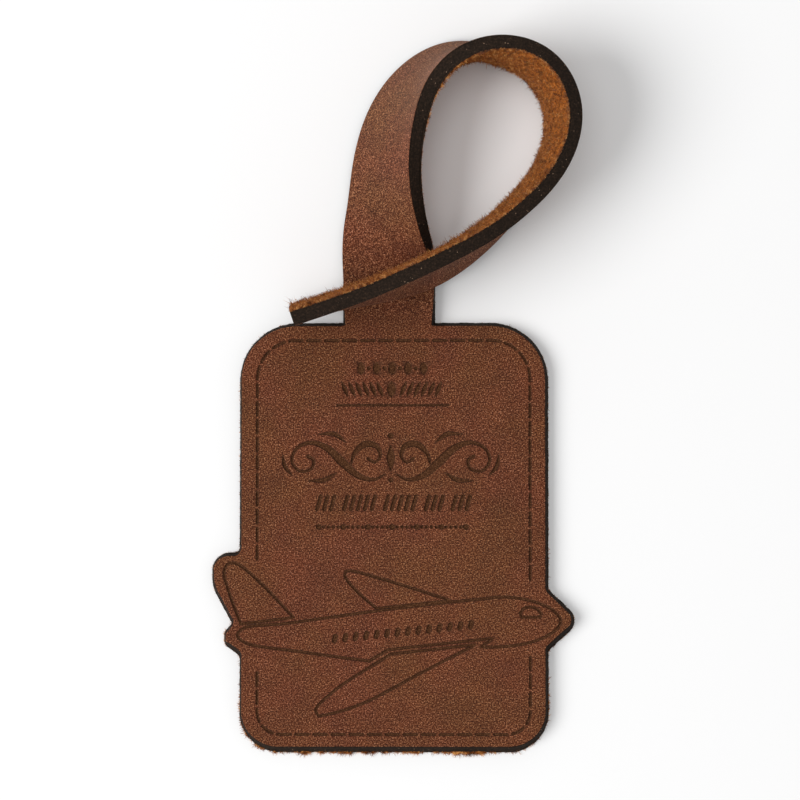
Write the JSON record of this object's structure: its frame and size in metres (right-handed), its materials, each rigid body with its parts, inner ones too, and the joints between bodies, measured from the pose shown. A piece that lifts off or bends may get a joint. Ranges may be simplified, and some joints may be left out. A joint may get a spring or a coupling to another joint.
{
  "type": "luggage tag",
  "caption": "Flat leather luggage tag with an aeroplane-shaped edge and its own strap, which loops over its root.",
  "frame": {"origin": "centre of the tag body's back face, on the surface that the tag lies on", "axes": "+Z out of the decorated face, +Y from the body towards the strap, +X to the right as the face is read"},
  "size_m": [0.0921, 0.1777, 0.0293],
  "materials": {
    "nubuck_face": "matte nubuck with a fine mottled grain",
    "burnt_core": "matte, charred by the laser cut",
    "suede_back": "raised suede nap"
  },
  "bodies": {
    "tag": {"tag_back": "suede_back", "tag_core": "burnt_core", "tag_face": "nubuck_face"},
    "strap_link_01": {"strap_01_back": "suede_back", "strap_01_core": "burnt_core", "strap_01_face": "nubuck_face"},
    "strap_link_02": {"strap_02_back": "suede_back", "strap_02_core": "burnt_core", "strap_02_face": "nubuck_face"},
    "strap_link_03": {"strap_03_back": "suede_back", "strap_03_core": "burnt_core", "strap_03_face": "nubuck_face"},
    "strap_link_04": {"strap_04_back": "suede_back", "strap_04_core": "burnt_core", "strap_04_face": "nubuck_face"},
    "strap_link_05": {"strap_05_back": "suede_back", "strap_05_core": "burnt_core", "strap_05_face": "nubuck_face"},
    "strap_link_06": {"strap_06_back": "suede_back", "strap_06_core": "burnt_core", "strap_06_face": "nubuck_face"},
    "strap_link_07": {"strap_07_back": "suede_back", "strap_07_core": "burnt_core", "strap_07_face": "nubuck_face"},
    "strap_link_08": {"strap_08_back": "suede_back", "strap_08_core": "burnt_core", "strap_08_face": "nubuck_face"},
    "strap_link_09": {"strap_09_back": "suede_back", "strap_09_core": "burnt_core", "strap_09_face": "nubuck_face"},
    "strap_link_10": {"strap_10_back": "suede_back", "strap_10_core": "burnt_core", "strap_10_face": "nubuck_face"},
    "strap_link_11": {"strap_11_back": "suede_back", "strap_11_core": "burnt_core", "strap_11_face": "nubuck_face"}
  },
  "joints": [
    {"name": "strap_root_fold", "type": "hinge", "parent": "tag", "child": "strap_link_01", "pos_m": [-0.0012, 0.05555, 0.00178], "axis": [1, 0, 0], "range_deg": [-30, 20], "stiffness_Nm_per_rad": 0.05},
    {"name": "stem_bend", "type": "hinge", "parent": "strap_link_01", "child": "strap_link_02", "pos_m": [-0.00119, 0.06424, 0.0003], "axis": [1, 0, 0], "range_deg": [-16, 0], "stiffness_Nm_per_rad": 0.05},
    {"name": "stem_bend_2", "type": "hinge", "parent": "strap_link_02", "child": "strap_link_03", "pos_m": [-0.0007, 0.08161, 0.00734], "axis": [0.7683, -0.1208, 0.6286], "range_deg": [-16, 0]},
    {"name": "stem_bend_3", "type": "hinge", "parent": "strap_link_03", "child": "strap_link_04", "pos_m": [0.00133, 0.09942, 0.0093], "axis": [0.572, -0.2058, 0.794], "range_deg": [-8, 0]},
    {"name": "stem_bend_4", "type": "hinge", "parent": "strap_link_04", "child": "strap_link_05", "pos_m": [0.01037, 0.1143, 0.01089], "axis": [0.1925, -0.3311, 0.9237], "range_deg": [-8, 0]},
    {"name": "loop_open", "type": "hinge", "parent": "strap_link_05", "child": "strap_link_06", "pos_m": [0.0272, 0.12191, 0.01199], "axis": [-0.004, 0.004, 1], "range_deg": [0, 15], "stiffness_Nm_per_rad": 0.03},
    {"name": "loop_open_2", "type": "hinge", "parent": "strap_link_06", "child": "strap_link_07", "pos_m": [0.04262, 0.10935, 0.01141], "axis": [-0.004, 0.004, 1], "range_deg": [0, 15]},
    {"name": "loop_open_3", "type": "hinge", "parent": "strap_link_07", "child": "strap_link_08", "pos_m": [0.03966, 0.08971, 0.0115], "axis": [-0.004, 0.004, 1], "range_deg": [0, 15]},
    {"name": "loop_open_4", "type": "hinge", "parent": "strap_link_08", "child": "strap_link_09", "pos_m": [0.02704, 0.0753, 0.01345], "axis": [-0.004, 0.004, 1], "range_deg": [0, 15]},
    {"name": "loop_open_5", "type": "hinge", "parent": "strap_link_09", "child": "strap_link_10", "pos_m": [0.01155, 0.06472, 0.0173], "axis": [-0.004, 0.004, 1], "range_deg": [0, 15]},
    {"name": "loop_open_6", "type": "hinge", "parent": "strap_link_10", "child": "strap_link_11", "pos_m": [-0.00617, 0.0579, 0.01619], "axis": [-0.004, 0.004, 1], "range_deg": [0, 15]}
  ],
  "couplings": [
    {"joint": "stem_bend_2", "follows": "stem_bend", "ratio": 1},
    {"joint": "stem_bend_3", "follows": "stem_bend", "ratio": 0.5},
    {"joint": "stem_bend_4", "follows": "stem_bend", "ratio": 0.5},
    {"joint": "loop_open_2", "follows": "loop_open", "ratio": 1},
    {"joint": "loop_open_3", "follows": "loop_open", "ratio": 1},
    {"joint": "loop_open_4", "follows": "loop_open", "ratio": 1},
    {"joint": "loop_open_5", "follows": "loop_open", "ratio": 1},
    {"joint": "loop_open_6", "follows": "loop_open", "ratio": 1}
  ]
}
